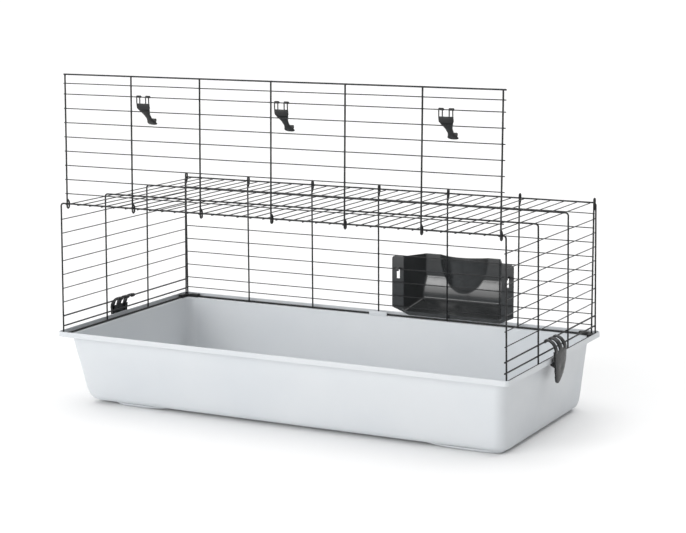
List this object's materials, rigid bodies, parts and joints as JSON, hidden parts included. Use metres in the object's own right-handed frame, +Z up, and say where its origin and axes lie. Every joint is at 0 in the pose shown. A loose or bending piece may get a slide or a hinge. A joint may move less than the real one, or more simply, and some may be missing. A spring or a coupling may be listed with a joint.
{
  "type": "wire rabbit cage",
  "caption": "Low rectangular indoor rabbit cage: deep moulded tray, bent wire top with a hinged front panel raised, clips and a hay rack on the back.",
  "frame": {"origin": "on the floor, under the middle of the overall footprint (tray and hay rack)", "axes": "+X along the cage to the right as seen from the door side, +Y from the door side to the back, +Z up"},
  "size_m": [1.2052, 0.6412, 0.8046],
  "materials": {
    "tray_plastic": "light cool grey injection-moulded plastic, satin",
    "cage_wire": "dark grey to black coated steel wire, satin",
    "clip_plastic": "black moulded plastic, semi-gloss",
    "rack_plastic": "very dark grey moulded plastic, glossy"
  },
  "bodies": {
    "cage": {"tray": "tray_plastic", "roof_grille": "cage_wire", "end_grille_left": "cage_wire", "end_grille_right": "cage_wire", "back_grille": "cage_wire", "corner_connector_left": "clip_plastic", "corner_connector_right": "clip_plastic"},
    "door": {"door_grille": "cage_wire"},
    "door_clip_1": {"door_clip_1": "clip_plastic"},
    "door_clip_2": {"door_clip_2": "clip_plastic"},
    "door_clip_3": {"door_clip_3": "clip_plastic"},
    "end_clip_left": {"end_clip_left": "clip_plastic"},
    "end_clip_right": {"end_clip_right": "clip_plastic"},
    "hay_rack": {"hay_rack": "rack_plastic"}
  },
  "joints": [
    {"name": "door_hinge", "type": "hinge", "parent": "cage", "child": "door", "pos_m": [0, -0.3076, 0.495], "axis": [1, 0, 0], "range_deg": [0, 181.2]},
    {"name": "door_clip_1_hinge", "type": "hinge", "parent": "door", "child": "door_clip_1", "pos_m": [-0.335, -0.30383, 0.75629], "axis": [1, 0, 0], "range_deg": [0, 137.5]},
    {"name": "door_clip_2_hinge", "type": "hinge", "parent": "door", "child": "door_clip_2", "pos_m": [0.031, -0.30383, 0.75629], "axis": [1, 0, 0], "range_deg": [0, 137.5]},
    {"name": "door_clip_3_hinge", "type": "hinge", "parent": "door", "child": "door_clip_3", "pos_m": [0.432, -0.30383, 0.75629], "axis": [1, 0, 0], "range_deg": [0, 137.5]},
    {"name": "end_clip_left_hinge", "type": "hinge", "parent": "cage", "child": "end_clip_left", "pos_m": [-0.5749, -0.0396, 0.2207], "axis": [0, 1, 0], "range_deg": [0, 110]},
    {"name": "end_clip_right_hinge", "type": "hinge", "parent": "cage", "child": "end_clip_right", "pos_m": [0.5749, -0.0396, 0.2207], "axis": [0, -1, 0], "range_deg": [0, 110]},
    {"name": "hay_rack_lift", "type": "slide", "parent": "cage", "child": "hay_rack", "axis": [0, 0, 1], "range_m": [0, 0.018]}
  ]
}
